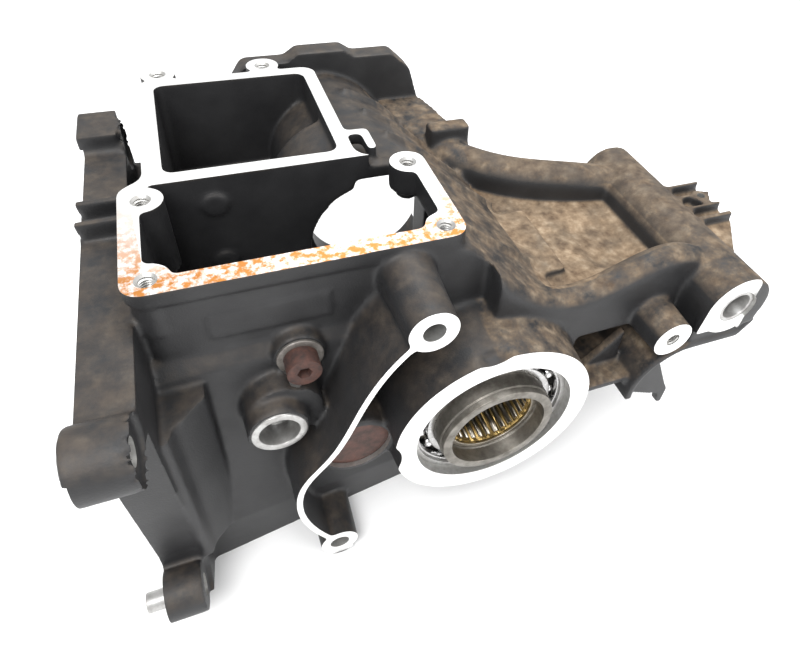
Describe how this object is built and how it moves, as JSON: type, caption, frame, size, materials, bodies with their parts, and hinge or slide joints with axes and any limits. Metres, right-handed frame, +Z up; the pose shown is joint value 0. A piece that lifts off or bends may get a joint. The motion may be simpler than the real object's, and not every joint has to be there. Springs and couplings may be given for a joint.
{
  "type": "gearbox housing",
  "caption": "Cast gearbox housing with a machined top cover frame, a bolted engine face, a ball bearing with a hollow drive sleeve in its output hub, and a rear swingarm pivot tube.",
  "frame": {"origin": "on the output shaft axis, in the machined face of the output hub", "axes": "+X to the rear (swingarm pivot), -X to the engine face, -Y to the output side (left), +Y to the door side (right), +Z up, square to the oil pan face"},
  "size_m": [0.3682, 0.2856, 0.195],
  "materials": {
    "casting": "black wrinkle coat on cast aluminium, machined faces left bare",
    "gear_steel": "oiled hardened steel",
    "bearing_steel": "ground and polished",
    "cage_steel": "pressed steel",
    "needle_steel": "satin",
    "rusted_steel": "rusty brown",
    "washer_metal": "dull",
    "plated_steel": "zinc plated"
  },
  "bodies": {
    "housing": {"gearbox_housing": "casting", "main_bearing_outer_race": "bearing_steel", "bearing_retaining_ring": "bearing_steel", "expansion_plug": "rusted_steel", "socket_head_screw": "rusted_steel", "screw_sealing_washer": "washer_metal", "port_bushing": "plated_steel", "pivot_bushing_left": "plated_steel", "pivot_bushing_right": "plated_steel", "front_dowel": "plated_steel"},
    "hub": {"main_drive_gear": "gear_steel", "main_bearing_inner_race": "bearing_steel", "needle_bearing_shell": "needle_steel"},
    "ball_cage": {"main_bearing_cage": "cage_steel", "main_bearing_balls": "bearing_steel"},
    "needle_set": {"needle_cage": "needle_steel", "needle_rollers": "needle_steel"}
  },
  "joints": [
    {"name": "hub_spin", "type": "hinge", "parent": "housing", "child": "hub", "pos_m": [0, 0.0145, 0], "axis": [0, 1, 0], "continuous": true},
    {"name": "ball_cage_spin", "type": "hinge", "parent": "housing", "child": "ball_cage", "pos_m": [0, 0.0145, 0], "axis": [0, 1, 0], "continuous": true},
    {"name": "needle_spin", "type": "hinge", "parent": "hub", "child": "needle_set", "pos_m": [0, 0.016, 0], "axis": [0, 1, 0], "continuous": true}
  ],
  "couplings": [
    {"joint": "ball_cage_spin", "follows": "hub_spin", "ratio": 0.4535}
  ]
}
